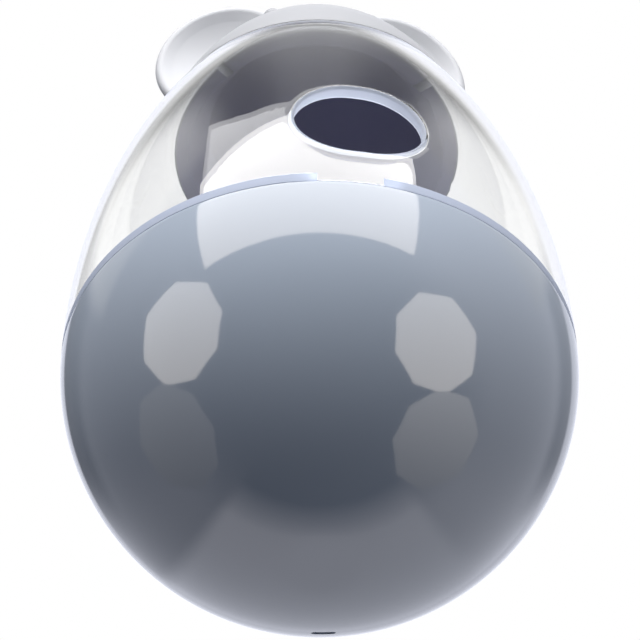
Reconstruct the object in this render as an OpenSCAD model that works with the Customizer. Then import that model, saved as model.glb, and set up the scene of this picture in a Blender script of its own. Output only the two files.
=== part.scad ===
// Roly-poly treat mouse: a weighted bowl, a clear egg-shaped dome with a treat hole, and a mouse head.
// Millimetres. +Z is up, the front is -Y, and the origin is under the bowl, in the middle of its foot.
// The treat chamber opens by a twist lock between the bowl's lip and the dome.

/* [Bowl] */
// Outer radius of the round bowl
bowl_r = 36; // [33:0.5:42]
// Wall of the bowl
bowl_wall = 2.2; // [1.8:0.1:3]
// Diameter of the small flat that the bowl stands on
foot_d = 9; // [6:0.5:12]
// Length of the moulding gate's recess, across the bowl
gate_l = 3.4; // [2:0.1:5]
// Width of the moulding gate's recess
gate_w = 1.6; // [1:0.1:2.4]
// Depth of the moulding gate's recess
gate_depth = 0.7; // [0.4:0.1:1.2]
// Angle of the recess from the foot, up the back of the bowl
gate_angle = 31; // [20:1:60]
// Turn of the recess from the middle of the back, in degrees
gate_turn = -10; // [-30:1:30]

/* [Twist lock] */
// Number of lugs, and of gaps in the lip
lock_count = 3; // [2:1:4]
// Turn from the locked place to the open place, in degrees
lock_turn = 18; // [17:0.5:24]
// Width of a lug, in degrees
lug_span = 13; // [9:0.5:14]
// Width of a gap in the lip, in degrees
gap_span = 17; // [15:0.5:20]
// Turn of the front gap from the front, in degrees
gap_turn = -2.5; // [-10:0.5:10]
// Clearance of a locked lug from the end of its groove, in degrees
stop_clear = 0.4; // [0.2:0.1:1]
// Height of the groove that the lugs slide in
groove_h = 2; // [1.6:0.1:3]
// Depth of the groove
groove_depth = 1.3; // [1:0.1:2]
// Height of the flange above the groove
flange_h = 1.4; // [1:0.1:2.5]
// Wall of the lip behind the groove
lip_wall = 1.4; // [1:0.1:2.5]
// Height of the ledge that carries the lip
ledge_h = 1.6; // [1:0.1:3]
// Clearance between the lip and the dome
lip_clear = 0.3; // [0.2:0.05:0.5]
// Clearance around a lug in its groove
lug_clear = 0.25; // [0.15:0.05:0.4]
// Clearance at the seam between the dome and the bowl
seam_clear = 0.1; // [0.05:0.05:0.3]

/* [Ballast and treat floor] */
// Depth of the ballast's top below the seam
ballast_depth = 20; // [17:0.5:24]
// Clearance between inner pieces that are seated on each other
seat_clear = 0.15; // [0.05:0.05:0.3]
// Thickness of the treat floor
floor_t = 1.6; // [1.2:0.1:2.5]
// Height of the treat floor's raised edge
floor_edge_h = 6; // [4:0.5:9]
// Diameter of the boss in the middle of the bowl
boss_d = 8; // [6.5:0.5:12]
// Solid bottom left under the screw's hole in the boss
boss_bottom = 2; // [1:0.5:4]
// Diameter of the screw's shank
screw_d = 3; // [2.5:0.1:4]
// Diameter of the screw's countersunk head
screw_head_d = 5.6; // [4.5:0.1:6]
// Space left under the tip of the screw
screw_tip_space = 1; // [0.5:0.5:2]
// Radial clearance of the screw in its holes
screw_clear = 0.05; // [0.02:0.01:0.2]
// Width of the screw's cross recess
recess_w = 0.8; // [0.6:0.1:1]
// Length of the screw's cross recess
recess_l = 3.4; // [2.6:0.1:4]
// Depth of the screw's cross recess
recess_depth = 0.8; // [0.4:0.1:1]

/* [Clear dome] */
// Radius of the arc that draws the side of the egg
dome_arc_r = 109; // [95:1:140]
// Height of the dome above the seam
dome_h = 51.4; // [46:0.1:56]
// Wall of the dome
dome_wall = 2.1; // [1.6:0.1:2.8]
// Width of the treat hole
hole_w = 18.5; // [17:0.1:24]
// Height of the treat hole
hole_h = 16.6; // [12:0.1:17]
// Height of the treat hole's middle above the seam
hole_z = 15; // [13:0.5:22]

/* [Head] */
// Height of the head above the dome
head_h = 21.9; // [19:0.1:26]
// Radius of the round top of the head
head_tip_r = 18.4; // [16:0.1:20]
// Elevation at which the round top meets the head's side, in degrees
head_blend = 44; // [36:1:50]
// Wall of the head
head_wall = 1.8; // [1.4:0.1:2.4]
// Thickness of the head's bottom rim, which stands on the dome
head_rim_t = 2; // [1.4:0.1:3]
// Turn of the head from the treat hole, in degrees
head_turn = -4; // [-20:1:20]
// Depth of the head's snap skirt below the dome's top edge
skirt_depth = 3.4; // [2:0.1:5]
// Wall of the snap skirt
skirt_wall = 2.3; // [1.4:0.1:2.6]
// Number of slots that let the skirt flex
skirt_slots = 4; // [3:1:8]
// Width of those slots
slot_w = 1.6; // [1:0.1:3]
// Height of the skirt left whole above those slots
slot_roof = 0.6; // [0.4:0.1:1]
// Radius of the small bump on the head in front of each ear
bump_r = 1.5; // [1.2:0.1:1.8]
// Height of a bump above the head's surface
bump_out = 1.3; // [0.6:0.1:1.4]
// Turn of a bump from the middle of the face, in degrees
bump_turn = 37; // [30:1:44]
// Elevation of a bump on the round top of the head, in degrees
bump_rise = 47; // [46:1:54]

/* [Ears] */
// Radius of an ear
ear_r = 11.3; // [9.5:0.1:13]
// Distance of an ear's middle from the head's surface
ear_out = 6; // [3:0.1:7]
// Elevation of an ear on the round top of the head, in degrees
ear_rise = 54; // [46:1:56]
// Turn of an ear towards the back, in degrees
ear_sweep = 16.5; // [0:0.5:30]
// Lean of an ear towards the front, in degrees
ear_lean = 8; // [0:1:15]
// Radius of the rounded edge of an ear
ear_edge_r = 1; // [0.9:0.1:2]
// Thickness of an ear inside its edge
ear_web = 1.6; // [1.2:0.1:2]
// Depth of the hollow in an ear
ear_dish = 2.8; // [1.6:0.1:4]
// Width of the tongue that holds an ear in the head
tongue_w = 7; // [5:0.5:9]
// Length of the tongue inside the head's wall
tongue_in = 2; // [1:0.1:2.2]

/* [Face] */
// Radius of an eye
eye_r = 1.4; // [1.2:0.1:2]
// Height of an eye above the head's surface
eye_out = 0.6; // [0.3:0.1:1]
// Turn of an eye from the middle of the face, in degrees
eye_turn = 50; // [44:1:60]
// Elevation of an eye on the round top of the head, in degrees
eye_rise = 70; // [66:1:74]
// Radius of the nose
nose_r = 2.3; // [1.6:0.1:3]
// Height of the nose above the head's surface
nose_out = 0.8; // [0.5:0.1:1.2]
// Elevation of the nose on the round top of the head, in degrees
nose_rise = 62; // [60:1:66]

/* [Hidden] */
$fn = 180;

grey = [0.44, 0.47, 0.53];
light_grey = [0.72, 0.74, 0.77];
front = -90;
// How far pieces of one solid run into each other, and how far a cut runs past the face that it opens
sink = 0.2;
cut_past = 1;
far = 4*bowl_r;

// Heights below are measured from the seam, the widest level of the bowl, unless they say otherwise
seam_z = sqrt(pow(bowl_r, 2) - pow(foot_d/2, 2));
bowl_in_r = bowl_r - bowl_wall;

lip_r = bowl_r - dome_wall - lip_clear;
groove_r = lip_r - groove_depth;
lip_in_r = groove_r - lip_wall;
lip_h = groove_h + flange_h;
lug_in_r = groove_r + lip_clear;

ballast_r = bowl_in_r - seat_clear;
floor_z = -ballast_depth + seat_clear;
boss_h = bowl_in_r - ballast_depth;
screw_head_h = (screw_head_d - screw_d)/2;
screw_top = floor_z + floor_t;
screw_end = -bowl_in_r + boss_bottom + screw_tip_space;

egg_x = bowl_r - dome_arc_r;
neck_r = egg_x + sqrt(pow(dome_arc_r, 2) - pow(dome_h, 2));

// The head's side is an arc that runs from the neck's edge into the round top without a crease
head_top = dome_h + head_h;
tip_z = head_top - head_tip_r;
blend_dir = [cos(head_blend), sin(head_blend)];
neck_offset = [neck_r, dome_h - tip_z];
flank_extra = (neck_offset*neck_offset - pow(head_tip_r, 2))/(2*(head_tip_r - neck_offset*blend_dir));
flank_r = head_tip_r + flank_extra;
flank_centre = [0, tip_z] - flank_extra*blend_dir;
function blend_z(inset) = tip_z + (head_tip_r - inset)*sin(head_blend);

ear_edge_at = ear_r - ear_edge_r;
dish_r = (pow(ear_edge_at, 2) + pow(ear_dish, 2))/(2*ear_dish);
tongue_l = ear_out + head_wall + tongue_in;

// Shapes that several pieces share

// Stands a piece on the ground, with the seam at its height
module raised() { translate([0, 0, seam_z]) children(); }

// Half-plane strip between two heights, for sections that are turned about the axis
module strip(low, high) { translate([0, low]) square([far, high - low]); }

// Turns a section part of the way round, centred on a direction
module sector(middle, span) { rotate([0, 0, middle - span/2]) rotate_extrude(angle = span) children(); }

// One copy for each lug of the twist lock
module each_lock() {
    for (i = [0 : lock_count - 1]) rotate([0, 0, front + gap_turn + i*360/lock_count]) children();
}

// The egg's outline, drawn in by a wall
module egg(inset) { translate([egg_x, 0]) circle(dome_arc_r - inset); }

// The head's outline above the dome, drawn in by a wall
module head_outline(inset, low = dome_h) {
    intersection() {
        translate(flank_centre) circle(flank_r - inset);
        strip(low, blend_z(inset));
    }
    intersection() {
        translate([0, tip_z]) circle(head_tip_r - inset);
        strip(blend_z(inset), far);
    }
}

// Puts a piece on the round top of the head, standing square to its surface
module on_head(turn, rise) {
    rotate([0, 0, front + head_turn + turn]) translate([0, 0, tip_z]) rotate([0, 90 - rise, 0]) children();
}

// A bead with a plug through the head's wall and a domed front
module bead(r, out) {
    cap_r = (pow(r, 2) + pow(out, 2))/(2*out);
    surface = sqrt(pow(head_tip_r, 2) - pow(r, 2));
    rotate_extrude() union() {
        translate([0, head_tip_r - head_wall]) square([r, surface - head_tip_r + head_wall]);
        intersection() {
            translate([0, surface - sink]) square([r, out + sink]);
            translate([0, surface + out - cap_r]) circle(cap_r);
        }
    }
}

module bead_hole(r) { translate([0, 0, head_tip_r/2]) cylinder(h = head_tip_r, r = r + seat_clear/2); }

// Puts a piece in the plane of the right ear, at its middle, facing the front
module at_ear() {
    rotate([0, 0, ear_sweep]) translate([0, 0, tip_z]) rotate([0, -ear_rise, 0])
        translate([head_tip_r + ear_out, 0, 0]) rotate([0, ear_rise, 0]) rotate([ear_lean, 0, 0]) children();
}

// The dished middle of an ear, grown by a clearance
module ear_middle(grow) {
    rotate([90, 0, 0]) rotate_extrude() intersection() {
        translate([0, dish_r - ear_dish]) difference() {
            circle(dish_r + ear_web/2 + grow);
            circle(dish_r - ear_web/2 - grow);
        }
        translate([0, -far]) square([ear_edge_at, far + ear_edge_r]);
    }
}

// Strip of the ear's middle that runs on into the head, grown by a clearance for its slot
module tongue(grow) {
    at_ear() intersection() {
        ear_middle(grow);
        rotate([0, -ear_rise, 0]) translate([-tongue_l - grow, -far/2, -tongue_w/2 - grow])
            cube([tongue_l + grow, far, tongue_w + 2*grow]);
    }
}

// Subcomponents

module base_bowl() {
    ledge_in = bowl_r - lip_in_r;
    color(grey) raised() difference() {
        union() {
            rotate_extrude() union() {
                difference() {
                    intersection() {
                        circle(bowl_r);
                        strip(-seam_z, 0);
                    }
                    difference() {
                        circle(bowl_in_r);
                        polygon([[lip_in_r, 0], [bowl_r, 0], [bowl_r, -ledge_h - ledge_in],
                            [lip_in_r, -ledge_h]]);
                    }
                }
                translate([lip_in_r, -ledge_h]) square([lip_r - lip_in_r, ledge_h + lip_h]);
            }
            translate([0, 0, -bowl_in_r - sink]) cylinder(h = boss_h + sink, d = boss_d);
        }
        each_lock() lock_cut();
        translate([0, 0, -bowl_in_r + boss_bottom]) cylinder(h = boss_h, r = screw_d/2 + screw_clear);
        rotate([gate_angle, 0, gate_turn]) translate([0, 0, -bowl_r]) gate_recess();
    }
}

// Gap in the lip where a lug drops in, and the groove that it slides along to its locked place
module lock_cut() {
    groove_span = lock_turn + lug_span/2 + stop_clear;
    sector(0, gap_span) translate([lip_in_r - cut_past, 0])
        square([lip_r - lip_in_r + 2*cut_past, lip_h + cut_past]);
    sector(-groove_span/2, groove_span) translate([groove_r, 0]) square([groove_depth + cut_past, groove_h]);
}

module gate_recess() {
    translate([0, 0, gate_depth/2]) linear_extrude(2*gate_depth, center = true) union() {
        square([gate_l - gate_w, gate_w], center = true);
        for (side = [-1, 1]) translate([side*(gate_l - gate_w)/2, 0]) circle(d = gate_w);
    }
}

module ballast_weight() {
    color("dimgray") raised() rotate_extrude() difference() {
        intersection() {
            circle(ballast_r);
            strip(-bowl_r, -ballast_depth);
        }
        translate([0, -bowl_r]) square([boss_d/2 + seat_clear, bowl_r]);
    }
}

module treat_floor() {
    dish_in_r = ballast_r - floor_t;
    color(light_grey) raised() difference() {
        rotate_extrude() difference() {
            intersection() {
                circle(ballast_r);
                strip(floor_z, floor_z + floor_edge_h);
            }
            intersection() {
                circle(dish_in_r);
                strip(floor_z + floor_t, 0);
            }
        }
        screw_shape(screw_clear, floor_z - cut_past);
    }
}

// Countersunk screw standing on its tip, grown by a clearance for its holes
module screw_shape(grow, low) {
    translate([0, 0, low]) cylinder(h = screw_top - low, r = screw_d/2 + grow);
    translate([0, 0, screw_top - screw_head_h])
        cylinder(h = screw_head_h, r1 = screw_d/2 + grow, r2 = screw_head_d/2 + grow);
}

module floor_screw() {
    color("silver") raised() difference() {
        screw_shape(0, screw_end);
        for (turn = [0, 90]) rotate([0, 0, turn])
            translate([-recess_l/2, -recess_w/2, screw_top - recess_depth])
                cube([recess_l, recess_w, 2*recess_depth]);
    }
}

module clear_dome() {
    lug_low = seam_clear + lug_clear;
    color([0.9, 0.93, 0.96, 0.4]) raised() difference() {
        union() {
            rotate_extrude() intersection() {
                difference() {
                    egg(0);
                    egg(dome_wall);
                }
                strip(seam_clear, dome_h);
            }
            each_lock() sector(-lock_turn, lug_span)
                translate([lug_in_r, lug_low])
                    square([bowl_r - dome_wall + sink - lug_in_r, groove_h - lug_clear - lug_low]);
        }
        translate([0, 0, hole_z]) rotate([90, 0, 0]) linear_extrude(far) treat_hole();
    }
}

// Round hole, a little wider than it is high
module treat_hole() {
    straight = hole_w - hole_h;
    square([straight, hole_h], center = true);
    for (side = [-1, 1]) translate([side*straight/2, 0]) circle(d = hole_h);
}

module head_shell() {
    skirt_inset = dome_wall + seat_clear;
    color(light_grey) raised() difference() {
        union() {
            rotate_extrude() difference() {
                union() {
                    head_outline(0);
                    intersection() {
                        egg(skirt_inset);
                        strip(dome_h - skirt_depth, dome_h + sink);
                    }
                }
                intersection() {
                    egg(skirt_inset + skirt_wall);
                    strip(0, dome_h + head_rim_t + sink);
                }
                head_outline(head_wall, dome_h + head_rim_t);
            }
            for (side = [-1, 1]) on_head(side*bump_turn, bump_rise)
                translate([0, 0, head_tip_r + bump_out - bump_r]) sphere(bump_r);
        }
        for (i = [0 : skirt_slots - 1]) rotate([0, 0, front + head_turn + (i + 0.5)*360/skirt_slots])
            translate([0, -slot_w/2, dome_h - skirt_depth - cut_past])
                cube([neck_r, slot_w, skirt_depth - slot_roof + cut_past]);
        for (side = [-1, 1]) rotate([0, 0, head_turn]) mirror([side < 0 ? 1 : 0, 0, 0]) tongue(seat_clear);
        for (side = [-1, 1]) on_head(side*eye_turn, eye_rise) bead_hole(eye_r);
        on_head(0, nose_rise) bead_hole(nose_r);
    }
}

// Dished disc with a rounded edge, hollow side to the front, cut to the head and held by its tongue
module ear() {
    difference() {
        at_ear() union() {
            ear_middle(0);
            rotate([90, 0, 0]) rotate_extrude() translate([ear_edge_at, 0]) circle(ear_edge_r);
        }
        rotate_extrude() head_outline(-seat_clear, dome_h - cut_past);
    }
    tongue(0);
}

module ear_left() { color(light_grey) raised() rotate([0, 0, head_turn]) mirror([1, 0, 0]) ear(); }

module ear_right() { color(light_grey) raised() rotate([0, 0, head_turn]) ear(); }

module eye_left() { color("black") raised() on_head(-eye_turn, eye_rise) bead(eye_r, eye_out); }

module eye_right() { color("black") raised() on_head(eye_turn, eye_rise) bead(eye_r, eye_out); }

module nose() { color("dimgray") raised() on_head(0, nose_rise) bead(nose_r, nose_out); }

base_bowl();
ballast_weight();
treat_floor();
floor_screw();
clear_dome();
head_shell();
ear_left();
ear_right();
eye_left();
eye_right();
nose();
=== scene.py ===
import math

import bmesh
import bpy
from mathutils import Matrix, Vector


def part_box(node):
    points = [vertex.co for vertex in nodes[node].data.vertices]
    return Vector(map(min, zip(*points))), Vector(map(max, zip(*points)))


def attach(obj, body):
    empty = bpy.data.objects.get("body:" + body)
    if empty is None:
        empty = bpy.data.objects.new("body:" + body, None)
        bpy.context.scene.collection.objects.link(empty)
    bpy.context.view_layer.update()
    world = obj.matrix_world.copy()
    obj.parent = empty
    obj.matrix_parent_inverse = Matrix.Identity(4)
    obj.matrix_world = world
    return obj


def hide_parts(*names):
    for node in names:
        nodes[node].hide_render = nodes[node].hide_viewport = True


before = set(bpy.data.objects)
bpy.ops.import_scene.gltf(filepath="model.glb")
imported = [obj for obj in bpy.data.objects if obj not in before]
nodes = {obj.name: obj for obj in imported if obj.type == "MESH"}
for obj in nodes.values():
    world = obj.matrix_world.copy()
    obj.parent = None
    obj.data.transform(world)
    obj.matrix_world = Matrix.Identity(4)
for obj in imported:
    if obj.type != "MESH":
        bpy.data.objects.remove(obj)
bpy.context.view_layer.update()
scene = bpy.context.scene
scene.view_settings.view_transform = "Standard"
mm = 0.001
weld = 0.002 * mm
print("frame loaded:", len(nodes), "nodes")

# millimetres above the seam, except seamZ, which stays in metres
seamClear = 0.1
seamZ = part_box("clear_dome")[0].z - seamClear * mm
domeTop = (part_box("clear_dome")[1].z - seamZ) / mm
headTop = (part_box("head_shell")[1].z - seamZ) / mm
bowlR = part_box("base_bowl")[1].x / mm


def srgb(r, g, b):
    steps = [v / 255 for v in (r, g, b)]
    return tuple(v / 12.92 if v <= 0.04045 else ((v + 0.055) / 1.055) ** 2.4 for v in steps) + (1.0,)


# the photo looks up at the toy from the front and below

cameraSet = {"azimuth": -10.0, "elevation": -45.9, "distance": 0.432, "lens": 174.4, "roll": -0.85,
             "aimRight": 0.00017, "aimUp": 0.0079}


def viewAxes(azimuth, elevation):
    a, e = math.radians(azimuth), math.radians(elevation)
    back = Vector((math.sin(a) * math.cos(e), -math.cos(a) * math.cos(e), math.sin(e)))
    right = Vector((math.cos(a), math.sin(a), 0))
    return right, back.cross(right), back


# the camera and the lamps are placed from this point
bowlMiddle = Vector((0, 0, 0.0359))
viewRight, viewUp, viewBack = viewAxes(cameraSet["azimuth"], cameraSet["elevation"])


def inView(v):
    return viewRight * v[0] + viewUp * v[1] + viewBack * v[2]


def addCamera():
    data = bpy.data.cameras.new("photoCamera")
    data.lens = cameraSet["lens"]
    data.clip_start = 0.01
    cam = bpy.data.objects.new("photoCamera", data)
    scene.collection.objects.link(cam)
    aside = inView((cameraSet["aimRight"], 0, 0))
    cam.location = bowlMiddle + aside + viewBack * cameraSet["distance"]
    aim = bowlMiddle + aside + viewUp * cameraSet["aimUp"]
    turn = (aim - cam.location).to_track_quat("-Z", "Y").to_matrix()
    turn = turn @ Matrix.Rotation(math.radians(cameraSet["roll"]), 3, "Z")
    cam.rotation_euler = turn.to_euler()
    scene.camera = cam


addCamera()
print("camera set")


# modelling helpers

def pick(piece):
    bpy.ops.object.select_all(action="DESELECT")
    bpy.context.view_layer.objects.active = piece
    piece.select_set(True)


def startPiece(name, adder, **sizes):
    bpy.ops.object.select_all(action="DESELECT")
    adder(**sizes)
    piece = bpy.context.object
    piece.name = name
    piece.data.name = name
    return piece


def movePiece(piece, place):
    pick(piece)
    piece.matrix_world = place
    bpy.ops.object.transform_apply(location=True, rotation=True, scale=True)


def cleanPiece(piece):
    pick(piece)
    bpy.ops.object.mode_set(mode="EDIT")
    bpy.ops.mesh.select_all(action="SELECT")
    bpy.ops.mesh.remove_doubles(threshold=weld)
    bpy.ops.mesh.normals_make_consistent(inside=False)
    bpy.ops.object.mode_set(mode="OBJECT")


def combine(piece, other, how):
    change = piece.modifiers.new("combine", "BOOLEAN")
    change.operation = how
    change.solver = "EXACT"
    change.object = other
    pick(piece)
    bpy.ops.object.modifier_apply(modifier=change.name)
    bpy.data.objects.remove(other)


def finishPiece(piece, body, node, angle=32):
    pick(piece)
    bpy.ops.object.shade_smooth_by_angle(angle=math.radians(angle))
    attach(piece, body)
    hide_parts(node)
    print("piece made:", piece.name, len(piece.data.polygons), "faces")


cornerSteps = 5


# a third number in a point rounds that corner
def softOutline(points):
    line = []
    for i, p in enumerate(points):
        here = Vector(p[:2])
        if len(p) == 2:
            line.append(here)
            continue
        a = (Vector(points[i - 1][:2]) - here).normalized()
        b = (Vector(points[(i + 1) % len(points)][:2]) - here).normalized()
        half = a.angle(b) / 2
        middle = here + (a + b).normalized() * p[2] / math.sin(half)
        first = here + a * p[2] / math.tan(half) - middle
        last = here + b * p[2] / math.tan(half) - middle
        steps = [k / cornerSteps for k in range(cornerSteps + 1)]
        line += [middle + first.slerp(last, k).normalized() * p[2] for k in steps]
    return line


def arc(middle, radius, start, end, count):
    turns = [math.radians(start + (end - start) * i / count) for i in range(count + 1)]
    return [(middle[0] + radius * math.cos(t), middle[1] + radius * math.sin(t)) for t in turns]


# draws an outline point by point and spins it, as on a lathe
def turnedPiece(name, outline, steps=192, span=360.0, base=None):
    low = seamZ if base is None else base
    piece = startPiece(name, bpy.ops.mesh.primitive_plane_add, size=mm)
    bpy.ops.object.mode_set(mode="EDIT")
    bpy.ops.mesh.select_mode(type="VERT")
    bpy.ops.mesh.merge(type="CENTER")
    here = Vector((0, 0, 0))
    for i, (r, z) in enumerate(outline):
        step = Vector((r * mm, 0, low + z * mm)) - here
        here += step
        if i == 0:
            bpy.ops.transform.translate(value=step)
        else:
            bpy.ops.mesh.extrude_vertices_move(TRANSFORM_OT_translate={"value": step})
    bpy.ops.mesh.select_all(action="SELECT")
    bpy.ops.mesh.spin(steps=steps, angle=math.radians(span), center=(0, 0, 0), axis=(0, 0, 1))
    bpy.ops.mesh.select_all(action="SELECT")
    bpy.ops.mesh.remove_doubles(threshold=weld)
    if span < 360:
        bpy.ops.mesh.fill_holes(sides=4)
    bpy.ops.object.mode_set(mode="OBJECT")
    cleanPiece(piece)
    return piece


def ringOfCopies(piece, count):
    pick(piece)
    bpy.ops.object.mode_set(mode="EDIT")
    bpy.ops.mesh.select_all(action="SELECT")
    bpy.ops.mesh.spin(steps=count - 1, dupli=True, angle=math.tau * (count - 1) / count,
                      center=(0, 0, 0), axis=(0, 0, 1))
    bpy.ops.object.mode_set(mode="OBJECT")


# the twist lock at the seam, in millimetres and degrees; a cutter reaches past its cut by over

lockSet = {"count": 3, "turn": 18.0, "gapTurn": -2.5, "gapSpan": 17.0, "lugSpan": 13.0, "stop": 0.4,
           "grooveR": 32.3, "grooveHigh": 2.0, "lugIn": 32.6, "lugLow": 0.35, "lugHigh": 1.75,
           "lugSink": 0.2, "over": 1, "steps": 12}


def lockBlocks(name, inner, outer, low, high, middle, span):
    outline = [(inner, low), (outer, low), (outer, high), (inner, high), (inner, low)]
    piece = turnedPiece(name, outline, lockSet["steps"], span)
    total = sum((v.co for v in piece.data.vertices), Vector())
    turn = math.radians(lockSet["gapTurn"] - 90 + middle) - math.atan2(total.y, total.x)
    movePiece(piece, Matrix.Rotation(turn, 4, "Z"))
    ringOfCopies(piece, lockSet["count"])
    return piece


bowlSet = {"wall": 2.2, "lipR": 33.6, "lipIn": 30.9, "lipHigh": 3.4, "ledge": 1.6, "bossR": 4.0,
           "bossTop": -20.0, "holeR": 1.55, "holeLow": -31.8, "seamSoft": 0.08, "lipSoft": 0.3,
           "footSoft": 0.15, "gateLong": 3.4, "gateWide": 1.6, "gateDeep": 1.05, "gateUp": 31.0,
           "gateTurn": -10.0, "gateSteps": 48, "bossSoft": 0.3, "outSteps": 80, "inSteps": 40, "steps": 256}


def gateCutter():
    s = bowlSet
    piece = startPiece("gateCutter", bpy.ops.mesh.primitive_circle_add, vertices=s["gateSteps"],
                       radius=s["gateWide"] / 2 * mm, fill_type="NGON")
    pull = (s["gateLong"] - s["gateWide"]) / 2 * mm
    for side in (-1, 1):
        bpy.ops.object.mode_set(mode="EDIT")
        bpy.ops.mesh.select_mode(type="VERT")
        bpy.ops.mesh.select_all(action="DESELECT")
        bpy.ops.object.mode_set(mode="OBJECT")
        for v in piece.data.vertices:
            v.select = side * v.co.x > 0.01 * mm
        bpy.ops.object.mode_set(mode="EDIT")
        bpy.ops.transform.translate(value=(side * pull, 0, 0))
    bpy.ops.mesh.select_all(action="SELECT")
    bpy.ops.transform.translate(value=(0, 0, -s["gateDeep"] * mm))
    bpy.ops.mesh.extrude_region_move(TRANSFORM_OT_translate={"value": (0, 0, 2 * s["gateDeep"] * mm)})
    bpy.ops.object.mode_set(mode="OBJECT")
    cleanPiece(piece)
    place = Matrix.Translation((0, 0, seamZ)) @ Matrix.Rotation(math.radians(s["gateTurn"]), 4, "Z")
    place = place @ Matrix.Rotation(math.radians(s["gateUp"]), 4, "X")
    movePiece(piece, place @ Matrix.Translation((0, 0, -bowlR * mm)))
    return piece


def makeBowl():
    s = bowlSet
    k = lockSet
    ground = -seamZ / mm
    innerR = bowlR - s["wall"]
    outside = arc((0, 0), bowlR, -90, 0, s["outSteps"])
    soft = [(r, ground + 0.5 * (z - ground + math.hypot(z - ground, s["footSoft"]))) for r, z in outside]
    both = s["lipIn"] + s["ledge"]
    slope = (math.sqrt(both ** 2 - 2 * (s["lipIn"] ** 2 + s["ledge"] ** 2 - innerR ** 2)) - both) / 2
    shelf = (s["lipIn"] + slope, -s["ledge"] - slope)
    first = math.degrees(math.atan2(shelf[1], shelf[0]))
    points = soft[:-1] + [(bowlR, 0, s["seamSoft"]), (s["lipR"], 0), (s["lipR"], s["lipHigh"], s["lipSoft"])]
    points += [(s["lipIn"], s["lipHigh"], s["lipSoft"]), (s["lipIn"], -s["ledge"])]
    points += arc((0, 0), innerR, first, -math.degrees(math.acos(s["bossR"] / innerR)), s["inSteps"])
    points += [(s["bossR"], s["bossTop"], s["bossSoft"]), (s["holeR"], s["bossTop"])]
    points += [(s["holeR"], s["holeLow"]), (0, s["holeLow"])]
    piece = turnedPiece("greyBowl", softOutline(points), s["steps"])
    combine(piece, gateCutter(), "DIFFERENCE")
    past = s["lipR"] + k["over"]
    gap = lockBlocks("gapCutter", s["lipIn"] - k["over"], past, 0, s["lipHigh"] + k["over"], 0, k["gapSpan"])
    combine(piece, gap, "DIFFERENCE")
    span = k["turn"] + k["lugSpan"] / 2 + k["stop"]
    groove = lockBlocks("grooveCutter", k["grooveR"], past, 0, k["grooveHigh"], -span / 2, span)
    combine(piece, groove, "DIFFERENCE")
    finishPiece(piece, "base", "base_bowl")
    return piece


domeSet = {"arc": 109.0, "wall": 2.1, "topSoft": 0.4, "lowSoft": 0.15, "holeWide": 18.5, "holeHigh": 16.6,
           "holeUp": 15.0, "holeSoft": 0.6, "holeTight": 0.4, "windowTurn": 19.7, "windowHigh": 10.8,
           "band": 1.9, "paneInset": 1.2, "low": 0.03, "levels": 64, "steps": 256}


def eggR(z, inset):
    return bowlR - domeSet["arc"] + math.sqrt((domeSet["arc"] - inset) ** 2 - z ** 2)


# distance from the treat hole's middle to its edge, in one direction
def holeEdge(turn, grow):
    r = domeSet["holeHigh"] / 2 + grow - domeSet["holeTight"]
    half = (domeSet["holeWide"] - domeSet["holeHigh"]) / 2
    c, s = abs(math.cos(turn)), abs(math.sin(turn))
    if r * c <= half * s:
        return r / s
    return half * c + math.sqrt(r ** 2 - (half * s) ** 2)


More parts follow.
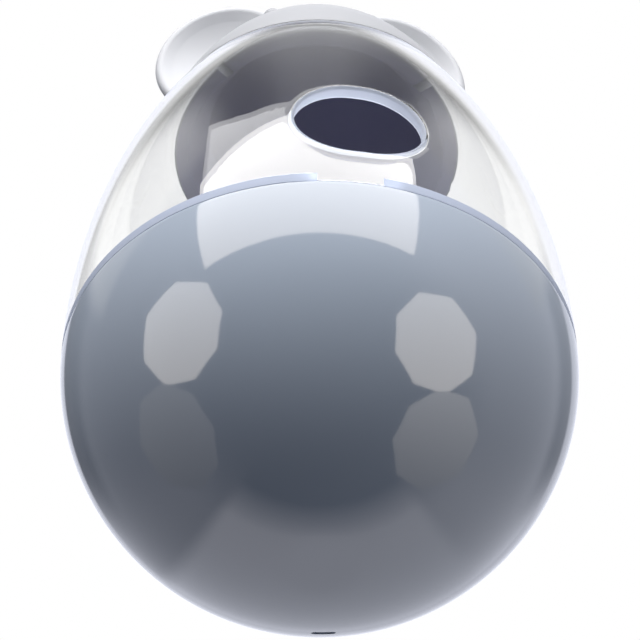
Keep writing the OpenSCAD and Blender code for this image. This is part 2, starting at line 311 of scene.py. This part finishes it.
def treatHole(piece):
    s = domeSet
    middle = seamZ + s["holeUp"] * mm
    bpy.ops.object.mode_set(mode="EDIT")
    bpy.ops.mesh.select_mode(type="FACE")
    bpy.ops.mesh.select_all(action="DESELECT")
    form = bmesh.from_edit_mesh(piece.data)
    for face in form.faces:
        at = face.calc_center_median()
        near = abs(math.degrees(math.atan2(at.x, -at.y))) < s["windowTurn"]
        face.select_set(near and abs(at.z - middle) < s["windowHigh"] * mm)
    bmesh.update_edit_mesh(piece.data)
    bpy.ops.mesh.delete(type="FACE")
    bpy.ops.mesh.select_mode(type="EDGE")
    form = bmesh.from_edit_mesh(piece.data)
    wide = high = 0
    for edge in form.edges:
        at = (edge.verts[0].co + edge.verts[1].co) / 2
        outer = at.xy.length > eggR((at.z - seamZ) / mm, s["wall"] / 2) * mm
        edge.select_set(edge.is_boundary and outer)
        if edge.is_boundary and not outer:
            wide = max(wide, abs(at.x) / mm)
            high = max(high, abs(at.z - middle) / mm)
    bmesh.update_edit_mesh(piece.data)

    # loops from the window's edge over the rounded hole to the inner wall: share, growth, inset, depth
    soft = s["holeSoft"]
    bends = [math.radians(a) for a in (15, 30, 45, 60, 75, 90)]
    loops = [(0.25, soft, 0, 0), (0.33, soft, 0, 0), (0.5, soft, 0, 0), (1, soft, 0, 0)]
    loops += [(1, soft * (1 - math.sin(a)), 0, soft * (1 - math.cos(a))) for a in bends]
    loops += [(1, 0, s["wall"] / 2, 0)]
    loops += [(1, soft * (1 - math.sin(a)), s["wall"], -soft * (1 - math.cos(a))) for a in reversed(bends)]
    loops += [(1, soft, s["wall"], 0)]
    loops += [(0.25, None, s["wall"], 0), (0.33, None, s["wall"], 0), (0.5, None, s["wall"], 0)]
    for share, grow, inset, deep in loops:
        bpy.ops.mesh.extrude_edges_move(TRANSFORM_OT_translate={"value": (0, 0, 0)})
        form = bmesh.from_edit_mesh(piece.data)
        for v in form.verts:
            if not v.select:
                continue
            x, z = v.co.x / mm, (v.co.z - middle) / mm
            turn = math.atan2(z, x)
            if grow is None:
                goal = min(wide / max(abs(math.cos(turn)), 0.01), high / max(abs(math.sin(turn)), 0.01))
            else:
                goal = holeEdge(turn, grow)
            reach = math.hypot(x, z)
            reach += (goal - reach) * share
            x, z = reach * math.cos(turn), s["holeUp"] + reach * math.sin(turn)
            y = deep - math.sqrt(eggR(z, inset) ** 2 - x ** 2)
            v.co = (x * mm, y * mm, seamZ + z * mm)
        bmesh.update_edit_mesh(piece.data)
    bpy.ops.mesh.select_all(action="DESELECT")
    form = bmesh.from_edit_mesh(piece.data)
    for edge in form.edges:
        edge.select_set(edge.is_boundary)
    bmesh.update_edit_mesh(piece.data)
    bpy.ops.mesh.bridge_edge_loops()
    bpy.ops.object.mode_set(mode="OBJECT")
    cleanPiece(piece)


def makeDome():
    s = domeSet
    k = lockSet
    low = s["low"]
    levels = [low + (domeTop - low) * i / s["levels"] for i in range(2, s["levels"] - 1)]
    points = [(eggR(low, 0), low, s["lowSoft"])] + [(eggR(z, 0), z) for z in levels]
    points += [(eggR(domeTop, 0), domeTop, s["topSoft"]), (eggR(domeTop, s["wall"]), domeTop, s["topSoft"])]
    points += [(eggR(z, s["wall"]), z) for z in reversed(levels)]
    points += [(eggR(low, s["wall"]), low, s["lowSoft"])]
    outline = softOutline(points)
    piece = turnedPiece("clearDome", outline + outline[:1], s["steps"])
    treatHole(piece)
    lugs = lockBlocks("lugs", k["lugIn"], bowlR - s["wall"] + k["lugSink"], k["lugLow"], k["lugHigh"],
                      -k["turn"], k["lugSpan"])
    combine(piece, lugs, "UNION")
    finishPiece(piece, "top", "clear_dome")
    return piece


headSet = {"tipR": 18.4, "blend": 44.0, "wall": 1.8, "rim": 2.0, "turn": -4.0, "seat": 0.15, "lift": 0.03,
           "skirtDeep": 3.4, "skirtWall": 2.3, "skirtSoft": 0.3, "skirtSteps": 6, "riseSteps": 8,
           "neckSoft": 0.1, "slots": 4, "slotWide": 1.6, "slotLong": 12, "slotAt": 18, "slotRoof": 0.6,
           "slotOver": 1, "bumpR": 1.5, "bumpOut": 1.3, "bumpTurn": 37.0, "bumpUp": 47.0, "flankSteps": 24,
           "tipSteps": 36, "steps": 192}

tipZ = headTop - headSet["tipR"]
neckR = eggR(domeTop, 0)


# the head's outline from a level to the top, drawn in by a wall
def headLine(inset, low):
    s = headSet
    blend = math.radians(s["blend"])
    away = Vector((math.cos(blend), math.sin(blend)))
    neck = Vector((neckR, domeTop - tipZ))
    extra = (neck.dot(neck) - s["tipR"] ** 2) / (2 * (s["tipR"] - neck.dot(away)))
    middle = Vector((0, tipZ)) - away * extra
    r = s["tipR"] + extra - inset
    start = math.degrees(math.asin((low - middle.y) / r))
    flank = arc(middle, r, start, s["blend"], s["flankSteps"])
    return flank[:-1] + arc((0, tipZ), s["tipR"] - inset, s["blend"], 90, s["tipSteps"])


def onHead(turn, up, out):
    place = Matrix.Rotation(math.radians(headSet["turn"] - 90 + turn), 4, "Z")
    place = place @ Matrix.Translation((0, 0, seamZ + tipZ * mm))
    place = place @ Matrix.Rotation(math.radians(90 - up), 4, "Y")
    return place @ Matrix.Translation((0, 0, out * mm))


def slotCutter():
    s = headSet
    piece = startPiece("slotCutter", bpy.ops.mesh.primitive_cube_add, size=1)
    high = s["skirtDeep"] - s["slotRoof"] + s["slotOver"]
    bpy.ops.object.mode_set(mode="EDIT")
    bpy.ops.transform.resize(value=(s["slotLong"] * mm, s["slotWide"] * mm, high * mm))
    middle = seamZ + (domeTop - s["slotRoof"] - high / 2) * mm
    bpy.ops.transform.translate(value=(s["slotAt"] * mm, 0, middle))
    bpy.ops.object.mode_set(mode="OBJECT")
    movePiece(piece, Matrix.Rotation(math.radians(s["turn"] - 90 + 180 / s["slots"]), 4, "Z"))
    ringOfCopies(piece, s["slots"])
    return piece


def makeHead():
    s = headSet
    low = domeTop + s["lift"]
    foot = domeTop - s["skirtDeep"]
    inset = domeSet["wall"] + s["seat"]
    outside = headLine(0, low)
    points = list(reversed(outside))[:-1] + [outside[0] + (s["neckSoft"],)]
    points += [(eggR(low, inset), low)]
    levels = [low - s["skirtDeep"] * i / s["skirtSteps"] for i in range(1, s["skirtSteps"])]
    points += [(eggR(z, inset), z) for z in levels]
    points += [(eggR(foot, inset), foot, s["skirtSoft"])]
    inset += s["skirtWall"]
    points += [(eggR(foot, inset), foot, s["skirtSoft"])]
    rise = s["skirtDeep"] + s["rim"]
    levels = [foot + rise * i / s["riseSteps"] for i in range(2, s["riseSteps"] + 1)]
    points += [(eggR(z, inset), z) for z in levels]
    points += headLine(s["wall"], domeTop + s["rim"])
    piece = turnedPiece("greyHead", softOutline(points), s["steps"])
    combine(piece, slotCutter(), "DIFFERENCE")
    for side in (-1, 1):
        bump = startPiece("bump", bpy.ops.mesh.primitive_uv_sphere_add, segments=40, ring_count=20,
                          radius=s["bumpR"] * mm)
        movePiece(bump, onHead(side * s["bumpTurn"], s["bumpUp"], s["tipR"] + s["bumpOut"] - s["bumpR"]))
        combine(piece, bump, "UNION")
    finishPiece(piece, "top", "head_shell")
    return piece


earSet = {"r": 11.29, "edge": 1.0, "web": 1.6, "dish": 2.8, "out": 6.0, "up": 54.0, "sweep": 16.5,
          "lean": 8.0, "inHead": 0.9, "coreUp": 0.5, "edgeGap": 4, "dishSteps": 28, "edgeSteps": 18,
          "steps": 128}


# a dished disc with a rounded edge, hollow to the front, that ends inside the head's wall
def makeEar():
    s = earSet
    edgeAt = s["r"] - s["edge"]
    dishR = (edgeAt ** 2 + s["dish"] ** 2) / (2 * s["dish"])
    tilt = math.degrees(math.asin(edgeAt / dishR))
    middle = (0, dishR - s["dish"])
    last = tilt - 90 - s["edgeGap"]
    points = arc(middle, dishR - s["web"] / 2, -90, last, s["dishSteps"])
    points += arc((edgeAt, 0), s["edge"], tilt + 90, tilt - 90, s["edgeSteps"])
    points += arc(middle, dishR + s["web"] / 2, last, -90, s["dishSteps"])
    piece = turnedPiece("earRight", points, s["steps"], base=0)
    place = Matrix.Rotation(math.radians(headSet["turn"] + s["sweep"]), 4, "Z")
    place = place @ Matrix.Translation((0, 0, seamZ + tipZ * mm))
    place = place @ Matrix.Rotation(math.radians(-s["up"]), 4, "Y")
    place = place @ Matrix.Translation(((headSet["tipR"] + s["out"]) * mm, 0, 0))
    place = place @ Matrix.Rotation(math.radians(s["up"]), 4, "Y")
    place = place @ Matrix.Rotation(math.radians(s["lean"] + 90), 4, "X")
    movePiece(piece, place)
    low = domeTop + s["coreUp"]
    core = turnedPiece("headCore", [(0, low)] + headLine(s["inHead"], low), s["steps"])
    combine(piece, core, "DIFFERENCE")
    return piece


def makeEars():
    right = makeEar()
    pick(right)
    bpy.ops.object.duplicate()
    left = bpy.context.object
    left.name = "earLeft"
    left.data.name = "earLeft"
    turn = Matrix.Rotation(math.radians(headSet["turn"]), 4, "Z")
    movePiece(left, turn @ Matrix.Scale(-1, 4, (1, 0, 0)) @ turn.inverted())
    cleanPiece(left)
    finishPiece(right, "top", "ear_right")
    finishPiece(left, "top", "ear_left")
    return right, left


bowl = makeBowl()
dome = makeDome()
head = makeHead()
ears = makeEars()


# node helpers for the finishes and the room

def feed(tree, socket, value):
    if isinstance(value, bpy.types.NodeSocket):
        tree.links.new(value, socket)
    else:
        socket.default_value = value


def mathOut(tree, operation, *values):
    n = tree.nodes.new("ShaderNodeMath")
    n.operation = operation
    for socket, value in zip(n.inputs, values):
        feed(tree, socket, value)
    return n.outputs[0]


def rangeOut(tree, value, start, end, low, high, kind="SMOOTHSTEP"):
    n = tree.nodes.new("ShaderNodeMapRange")
    n.interpolation_type = kind
    for socket, v in zip(n.inputs, (value, start, end, low, high)):
        feed(tree, socket, v)
    return n.outputs[0]


def mixOut(tree, share, first, second):
    n = tree.nodes.new("ShaderNodeMix")
    n.data_type = "RGBA"
    feed(tree, n.inputs["Factor"], share)
    feed(tree, n.inputs["A"], first)
    feed(tree, n.inputs["B"], second)
    return n.outputs["Result"]


# cloudy colour, uneven gloss and a fine grain, for every moulded or cast piece
def grainGroup():
    g = bpy.data.node_groups.new("mouldedGrain", "ShaderNodeTree")
    for name, kind in (("Tint", "NodeSocketColor"), ("Cloud Size", "NodeSocketFloat"),
                       ("Cloud", "NodeSocketFloat"), ("Rough", "NodeSocketFloat"),
                       ("Rough Spread", "NodeSocketFloat"), ("Grain Size", "NodeSocketFloat")):
        g.interface.new_socket(name, in_out="INPUT", socket_type=kind)
    for name, kind in (("Color", "NodeSocketColor"), ("Roughness", "NodeSocketFloat"),
                       ("Height", "NodeSocketFloat")):
        g.interface.new_socket(name, in_out="OUTPUT", socket_type=kind)
    into = g.nodes.new("NodeGroupInput").outputs
    out = g.nodes.new("NodeGroupOutput").inputs
    place = g.nodes.new("ShaderNodeTexCoord").outputs["Object"]

    def noise(size, detail):
        n = g.nodes.new("ShaderNodeTexNoise")
        g.links.new(place, n.inputs["Vector"])
        feed(g, n.inputs["Scale"], mathOut(g, "DIVIDE", 1.0, size))
        n.inputs["Detail"].default_value = detail
        return n.outputs["Fac"]

    cloud = mathOut(g, "SUBTRACT", noise(into["Cloud Size"], 3.0), 0.5)
    grain = noise(into["Grain Size"], 2.0)
    level = mathOut(g, "MULTIPLY_ADD", cloud, into["Cloud"], 1.0)
    shade = g.nodes.new("ShaderNodeVectorMath")
    shade.operation = "SCALE"
    g.links.new(into["Tint"], shade.inputs[0])
    g.links.new(level, shade.inputs["Scale"])
    g.links.new(shade.outputs[0], out["Color"])
    uneven = mathOut(g, "ADD", cloud, mathOut(g, "SUBTRACT", grain, 0.5))
    g.links.new(mathOut(g, "MULTIPLY_ADD", uneven, into["Rough Spread"], into["Rough"]), out["Roughness"])
    g.links.new(grain, out["Height"])
    return g


mouldedGrain = grainGroup()


# sizes in metres; plain goes straight to the shader's own sockets
def grainFinish(name, tint, rough, cloud=0.05, cloudSize=0.012, roughSpread=0.04, grainSize=0.0006,
                lift=0.000004, plain=()):
    mat = bpy.data.materials.new(name)
    mat.use_nodes = True
    t = mat.node_tree
    shader = t.nodes["Principled BSDF"]
    g = t.nodes.new("ShaderNodeGroup")
    g.node_tree = mouldedGrain
    for key, value in (("Tint", tint), ("Cloud Size", cloudSize), ("Cloud", cloud), ("Rough", rough),
                       ("Rough Spread", roughSpread), ("Grain Size", grainSize)):
        g.inputs[key].default_value = value
    t.links.new(g.outputs["Color"], shader.inputs["Base Color"])
    t.links.new(g.outputs["Roughness"], shader.inputs["Roughness"])
    bump = t.nodes.new("ShaderNodeBump")
    bump.inputs["Strength"].default_value = 1.0
    bump.inputs["Distance"].default_value = lift
    t.links.new(g.outputs["Height"], bump.inputs["Height"])
    t.links.new(bump.outputs[0], shader.inputs["Normal"])
    for key, value in dict(plain).items():
        shader.inputs[key].default_value = value
    return mat


# clear to the camera, and open to the light that falls on what is inside; a cut edge also spreads light
def clearFinish(name, tint, rough, roughSpread, spread=0.0, plain=()):
    mat = grainFinish(name, tint, rough, 0.01, 0.02, roughSpread, 0.0015, 0.0000004,
                      dict({"Transmission Weight": 1.0, "IOR": 1.58}, **dict(plain)))
    t = mat.node_tree
    body = t.nodes["Principled BSDF"].outputs[0]

    def mixIn(share, shader, colour, body):
        n = t.nodes.new(shader)
        n.inputs["Color"].default_value = colour
        mix = t.nodes.new("ShaderNodeMixShader")
        feed(t, mix.inputs[0], share)
        t.links.new(body, mix.inputs[1])
        t.links.new(n.outputs[0], mix.inputs[2])
        return mix.outputs[0]

    if spread:
        body = mixIn(spread, "ShaderNodeBsdfTranslucent", finishSet["spread"], body)
    path = t.nodes.new("ShaderNodeLightPath")
    unseen = mathOut(t, "MAXIMUM", path.outputs["Is Shadow Ray"], path.outputs["Is Diffuse Ray"])
    body = mixIn(unseen, "ShaderNodeBsdfTransparent", finishSet["pass"], body)
    t.links.new(body, t.nodes["Material Output"].inputs["Surface"])
    return mat


# inside is the head's own plastic made lighter and bluer, a painted tint for the light in its hollow; ear
# also paints the head skirt's outside lighter, as painted light
finishSet = {"bowl": srgb(162, 173, 188), "lip": srgb(164, 172, 188), "head": srgb(166, 168, 173),
             "ear": srgb(198, 200, 205), "inside": srgb(177, 174, 199), "iron": srgb(78, 78, 80),
             "floor": srgb(165, 168, 174), "steel": srgb(186, 186, 190), "eye": srgb(18, 18, 20),
             "nose": srgb(46, 46, 50), "clear": (0.995, 1, 1, 1), "band": srgb(200, 210, 232),
             "edge": srgb(222, 228, 240), "spread": srgb(214, 222, 240), "pass": (0.8, 0.81, 0.84, 1)}

bowlGloss = grainFinish("bowlGloss", finishSet["bowl"], 0.06, 0.03, 0.02, 0.02, 0.008, 0.000006,
                        {"Specular Tint": (1.0, 0.93, 0.86, 1)})
lipSatin = grainFinish("lipSatin", finishSet["lip"], 0.5, 0.03, 0.01, 0.05, 0.0008, 0.000004,
                       {"Specular IOR Level": 0.2})
headSatin = grainFinish("headSatin", finishSet["head"], 0.5, 0.03, 0.015, 0.06, 0.0007, 0.000004,
                        {"Specular IOR Level": 0.35})
# the ears' own tint, also laid on the head skirt's outside as painted light: a lighter copy of the head's
# plastic where the skirt is lit from the front
earSatinAndSkirtPaintedLight = grainFinish("earSatinAndSkirtPaintedLight", finishSet["ear"], 0.5, 0.03, 0.015, 0.06, 0.0007, 0.000004,
                       {"Specular IOR Level": 0.35})
# the hollow's inner faces: the head's plastic in a painted lighter, bluer tint standing in for the light
# there
headInsidePaintedTint = grainFinish("headInsidePaintedTint", finishSet["inside"], 0.6, 0.04, 0.01, 0.06, 0.0007, 0.000005,
                         {"Specular IOR Level": 0.3})
castIron = grainFinish("castIron", finishSet["iron"], 0.55, 0.35, 0.003, 0.2, 0.0008, 0.00005,
                       {"Metallic": 0.8})
floorSatin = grainFinish("floorSatin", finishSet["floor"], 0.3, 0.04, 0.01, 0.06, 0.0007, 0.000005)
platedSteel = grainFinish("platedSteel", finishSet["steel"], 0.25, 0.08, 0.002, 0.12, 0.0002, 0.000004,
                          {"Metallic": 1.0})
eyeGloss = grainFinish("eyeGloss", finishSet["eye"], 0.08, 0.1, 0.001, 0.03, 0.0004, 0.000001)
noseGloss = grainFinish("noseGloss", finishSet["nose"], 0.2, 0.1, 0.001, 0.06, 0.0003, 0.000002)
clearGloss = clearFinish("clearGloss", finishSet["clear"], 0.012, 0.008)
clearBand = clearFinish("clearBand", finishSet["band"], 0.45, 0.08, 0.0,
                        {"Transmission Weight": 0.3, "IOR": 1.1})
frostedEdge = clearFinish("frostedEdge", finishSet["edge"], 0.4, 0.08, 0.5,
                          {"Transmission Weight": 0.4, "IOR": 1.3})

bowl.data.materials.append(bowlGloss)
bowl.data.materials.append(lipSatin)
for face in bowl.data.polygons:
    face.material_index = 1 if face.center.z > seamZ + 0.01 * mm else 0
# one head plastic in three tints: its own outside, a lighter and bluer painted tint on the hollow's inner
# faces, and the ears' lighter tint on the skirt's outside as painted light
for finish in (headSatin, headInsidePaintedTint, earSatinAndSkirtPaintedLight):
    head.data.materials.append(finish)
skirtIn = domeSet["wall"] + headSet["seat"] + 0.5 * headSet["skirtWall"]
tip = Vector((0, 0, seamZ + tipZ * mm))
for face in head.data.polygons:
    up = (face.center.z - seamZ) / mm
    if up < domeTop + headSet["rim"] + 0.2:
        inner = face.center.xy.length < eggR(up, skirtIn) * mm
    else:
        inner = face.normal.dot(face.center - tip) < 0
    face.material_index = 1 if inner else 2 if up < domeTop else 0
for ear in ears:
    ear.data.materials.append(earSatinAndSkirtPaintedLight)
for finish in (clearGloss, clearBand, frostedEdge):
    dome.data.materials.append(finish)
# the frosted band covers the cut ends of the lip, so each clear pane is narrower than its gap
sector = 360 / lockSet["count"]
pane = lockSet["gapSpan"] / 2 - domeSet["paneInset"]
for face in dome.data.polygons:
    at = face.center
    up = (at.z - seamZ) / mm
    x = at.x / mm
    outer = at.xy.length > eggR(up, domeSet["wall"] / 2) * mm
    reach = math.hypot(x, up - domeSet["holeUp"])
    edge = holeEdge(math.atan2(up - domeSet["holeUp"], x), 0.7 * domeSet["holeSoft"])
    turn = math.degrees(math.atan2(at.x, -at.y)) - lockSet["gapTurn"]
    aside = abs((turn + sector / 2) % sector - sector / 2)
    face.material_index = 1 if outer and up < domeSet["band"] and aside > pane else 0
    if at.y < 0 and reach < edge:
        face.material_index = 2
nodeFinish = {"ballast_weight": castIron, "treat_floor": floorSatin, "floor_screw": platedSteel,
              "eye_left": eyeGloss, "eye_right": eyeGloss, "nose": noseGloss}
for nodeName, finish in nodeFinish.items():
    nodes[nodeName].material_slots[0].material = finish
print("finishes set")

# lamps are placed as the photo's reflections show them: right, up and towards the camera

lampTint = (1.0, 0.985, 0.965)
lampSet = {
    "overheadBox": {"at": (-0.080, 0.913, -0.061), "facing": (0, -0.881, -0.473), "shape": "RECTANGLE",
                    "size": (1.27, 0.91), "radiance": 5.6, "mirrored": True},
    "rightFill": {"at": (0.868, 0.276, 0.618), "facing": (-0.789, -0.251, -0.562), "shape": "DISK",
                  "size": (0.9, 0.9), "radiance": 0.58, "mirrored": False},
    "backFill": {"at": (0.2, 0.1, -1.2), "facing": (-0.2, -0.1, 1.2), "shape": "DISK",
                 "size": (0.9, 0.9), "radiance": 1.0, "mirrored": False},
}
panelSet = {
    "leftPanel": {"at": (-0.948, 0.327, 0.453), "size": 0.8, "glow": 5.5, "low": 0.92, "turn": 0.0},
    "rightPanel": {"at": (0.854, 0.245, 0.649), "size": 0.8, "glow": 5.6, "low": 0.98, "turn": 22.5},
    "leftLowPanel": {"at": (-0.961, -0.388, 0.369), "size": 0.8, "glow": 1.0, "low": 0.6, "turn": 0.0},
    "rightLowPanel": {"at": (0.822, -0.455, 0.573), "size": 0.8, "glow": 2.6, "low": 0.35, "turn": 22.5},
}
# the dimmer cloth behind the overhead box, drawn in the box's own plane
clothSet = {"over": "overheadBox", "glow": 2.4, "corners": (
    (-0.62, 0.456), (0.63, 0.456), (0.83, 0.77), (0.60, 0.69), (0.30, 0.62), (-0.03, 0.592), (-0.307, 0.695),
    (-0.466, 0.845), (-0.70, 1.139), (-0.641, 0.751))}


def facingPlace(look):
    z = -inView(look["facing"]).normalized()
    x = (viewRight - z * viewRight.dot(z)).normalized()
    place = Matrix((x, z.cross(x), z)).transposed().to_4x4()
    place.translation = bowlMiddle + inView(look["at"])
    return place


def addLamp(name, look):
    data = bpy.data.lights.new(name, "AREA")
    data.shape = look["shape"]
    data.size = look["size"][0]
    area = look["size"][0] ** 2 * math.pi / 4
    if look["shape"] == "RECTANGLE":
        data.size_y = look["size"][1]
        area = look["size"][0] * look["size"][1]
    data.energy = look["radiance"] * math.pi * area
    data.color = lampTint
    lamp = bpy.data.objects.new(name, data)
    scene.collection.objects.link(lamp)
    lamp.matrix_world = facingPlace(look)
    lamp.visible_camera = False
    lamp.visible_glossy = look["mirrored"]
    lamp.visible_transmission = look["mirrored"]


# seen only in reflections and through the clear dome
def glowSheet(panel, name, look):
    mat = bpy.data.materials.new(name)
    mat.use_nodes = True
    t = mat.node_tree
    t.nodes.clear()
    glow = t.nodes.new("ShaderNodeEmission")
    glow.inputs["Strength"].default_value = look["glow"]
    if "low" in look:
        high = t.nodes.new("ShaderNodeVectorMath")
        high.operation = "DOT_PRODUCT"
        t.links.new(t.nodes.new("ShaderNodeTexCoord").outputs["Object"], high.inputs[0])
        high.inputs[1].default_value = viewUp
        middle = viewUp.dot(bowlMiddle) + look["at"][1]
        half = look["size"] / 2
        level = rangeOut(t, high.outputs["Value"], middle - half, middle + half, look["low"], 1.0, "LINEAR")
        t.links.new(mathOut(t, "MULTIPLY", level, look["glow"]), glow.inputs["Strength"])
    t.links.new(glow.outputs[0], t.nodes.new("ShaderNodeOutputMaterial").inputs["Surface"])
    panel.data.materials.append(mat)
    panel.visible_camera = False
    panel.visible_diffuse = False
    panel.visible_shadow = False


# eight-sided softboxes, and below them their dim images in the table
def addPanel(name, look):
    panel = startPiece(name, bpy.ops.mesh.primitive_circle_add, vertices=8, radius=look["size"] / 2,
                       fill_type="NGON", rotation=(0, 0, math.radians(look["turn"])))
    place = facingPlace(dict(look, facing=[-v for v in look["at"]]))
    movePiece(panel, place @ panel.matrix_world)
    glowSheet(panel, name, look)


def addCloth(name, look):
    cloth = startPiece(name, bpy.ops.mesh.primitive_circle_add, vertices=len(look["corners"]), radius=0.5,
                       fill_type="NGON")
    for v, corner in zip(cloth.data.vertices, look["corners"]):
        v.co = (corner[0], corner[1], 0)
    movePiece(cloth, facingPlace(lampSet[look["over"]]))
    glowSheet(cloth, name, look)


for lampName, lampLook in lampSet.items():
    addLamp(lampName, lampLook)
for panelName, panelLook in panelSet.items():
    addPanel(panelName, panelLook)
addCloth("boxCloth", clothSet)
print("lamps set:", len(lampSet) + len(panelSet) + 1)

# white to the camera and through the clear dome, a studio over a pale table to reflections

roomSet = {"white": 1.0, "fill": 0.155, "tint": (0.97, 1.0, 1.13, 1), "left": 0.45, "right": 1.0,
           "corner": 0.42, "rim": 0.4, "table": 2.2, "tableFar": 1.3, "behind": 1.1, "high": 0.45,
           "highEdge": 0.2, "highSide": 1.0}
# where each part of the room starts and ends, along the view's axes
zoneSet = {"side": (-0.5, 0.5), "front": (0.75, 0.1), "corner": (0.3, 0.7), "rim": (-0.58, -0.74),
           "rimDown": (0.3, 0.65), "table": (0.1, -0.8), "tableFront": (0.55, 0.25),
           "tableDown": (0.76, 0.83), "behind": (0.865, 0.9), "behindAside": 0.06, "high": (0.05, 0.25),
           "highSide": (0.3, 0.46), "aboveUp": (0.2, 0.3), "aboveNear": (-0.4, -0.5),
           "aboveFar": (-0.92, -0.84)}


def addRoom():
    s = roomSet
    z = zoneSet
    world = bpy.data.worlds.new("room")
    world.use_nodes = True
    scene.world = world
    t = world.node_tree
    t.nodes.clear()
    out = t.nodes.new("ShaderNodeOutputWorld")
    path = t.nodes.new("ShaderNodeLightPath")
    way = t.nodes.new("ShaderNodeTexCoord").outputs["Generated"]

    def along(axis):
        n = t.nodes.new("ShaderNodeVectorMath")
        n.operation = "DOT_PRODUCT"
        t.links.new(way, n.inputs[0])
        n.inputs[1].default_value = axis
        return n.outputs["Value"]

    def blend(share, first, second):
        return mathOut(t, "MULTIPLY_ADD", mathOut(t, "SUBTRACT", second, first), share, first)

    # down is 1 straight below the view's line and 0 beside it
    back, up, right = along(viewBack), along(viewUp), along(viewRight)
    flat = mathOut(t, "SQRT", mathOut(t, "SUBTRACT", 1.0001, mathOut(t, "MULTIPLY", back, back)))
    down = mathOut(t, "DIVIDE", up, mathOut(t, "MULTIPLY", flat, -1.0))
    side = mathOut(t, "ADD", rangeOut(t, right, *z["side"], s["left"], s["right"]),
                   rangeOut(t, down, *z["corner"], 0.0, s["corner"]))
    rim = rangeOut(t, back, *z["rim"], 1.0, s["rim"])
    rim = blend(rangeOut(t, down, *z["rimDown"], 0.0, 1.0), rim, 1.0)
    side = mathOut(t, "MULTIPLY", side, rim)
    side = mathOut(t, "MULTIPLY", side, rangeOut(t, back, *z["front"], 0.0, 1.0))
    table = rangeOut(t, back, *z["table"], s["table"], s["tableFar"], "LINEAR")
    table = mathOut(t, "MULTIPLY", table, rangeOut(t, back, *z["tableFront"], 0.0, 1.0, "LINEAR"))
    room = blend(rangeOut(t, down, *z["tableDown"], 0.0, 1.0), side, table)
    ahead = (viewRight * z["behindAside"] - viewBack).normalized()
    behind = rangeOut(t, along(ahead), *z["behind"], 0.0, 1.0)
    room = blend(behind, room, s["behind"])

    # over the dome: dim ahead, white beside it
    aside = mathOut(t, "ABSOLUTE", right)
    high = rangeOut(t, aside, *z["high"], s["high"], s["highEdge"])
    high = blend(rangeOut(t, aside, *z["highSide"], 0.0, 1.0), high, s["highSide"])
    above = rangeOut(t, up, *z["aboveUp"], 0.0, 1.0)
    for edge in (z["aboveNear"], z["aboveFar"]):
        above = mathOut(t, "MULTIPLY", above, rangeOut(t, back, *edge, 0.0, 1.0))
    room = blend(above, room, high)

    # rays that leave the dome see white, except over it
    level = blend(path.outputs["Is Glossy Ray"], s["fill"], room)
    level = blend(path.outputs["Is Transmission Ray"], level, blend(above, s["white"], high))
    level = blend(path.outputs["Is Camera Ray"], level, s["white"])
    seen = mathOut(t, "MAXIMUM", path.outputs["Is Camera Ray"], path.outputs["Is Transmission Ray"])
    glow = t.nodes.new("ShaderNodeBackground")
    plain = mathOut(t, "MAXIMUM", seen, above)
    t.links.new(mixOut(t, plain, s["tint"], (1, 1, 1, 1)), glow.inputs["Color"])
    t.links.new(level, glow.inputs["Strength"])
    t.links.new(glow.outputs[0], out.inputs[0])


addRoom()


floorSet = {"size": 4, "low": -0.0002, "paint": (0.9, 0.9, 0.9, 1)}


# opaque only to the camera, and only from above, since the photo looks up through it
def addFloor():
    s = floorSet
    floor = startPiece("paleFloor", bpy.ops.mesh.primitive_plane_add, size=s["size"],
                       location=(0, 0, s["low"]))
    bpy.ops.object.transform_apply(location=True)
    mat = bpy.data.materials.new("paleFloor")
    mat.use_nodes = True
    t = mat.node_tree
    t.nodes.clear()
    out = t.nodes.new("ShaderNodeOutputMaterial")
    paint = t.nodes.new("ShaderNodeBsdfDiffuse")
    paint.inputs["Color"].default_value = s["paint"]
    clear = t.nodes.new("ShaderNodeBsdfTransparent")
    path = t.nodes.new("ShaderNodeLightPath")
    above = mathOut(t, "SUBTRACT", 1.0, t.nodes.new("ShaderNodeNewGeometry").outputs["Backfacing"])
    mix = t.nodes.new("ShaderNodeMixShader")
    t.links.new(mathOut(t, "MULTIPLY", path.outputs["Is Camera Ray"], above), mix.inputs[0])
    t.links.new(clear.outputs[0], mix.inputs[1])
    t.links.new(paint.outputs[0], mix.inputs[2])
    t.links.new(mix.outputs[0], out.inputs[0])
    floor.data.materials.append(mat)


addFloor()
print("room set")
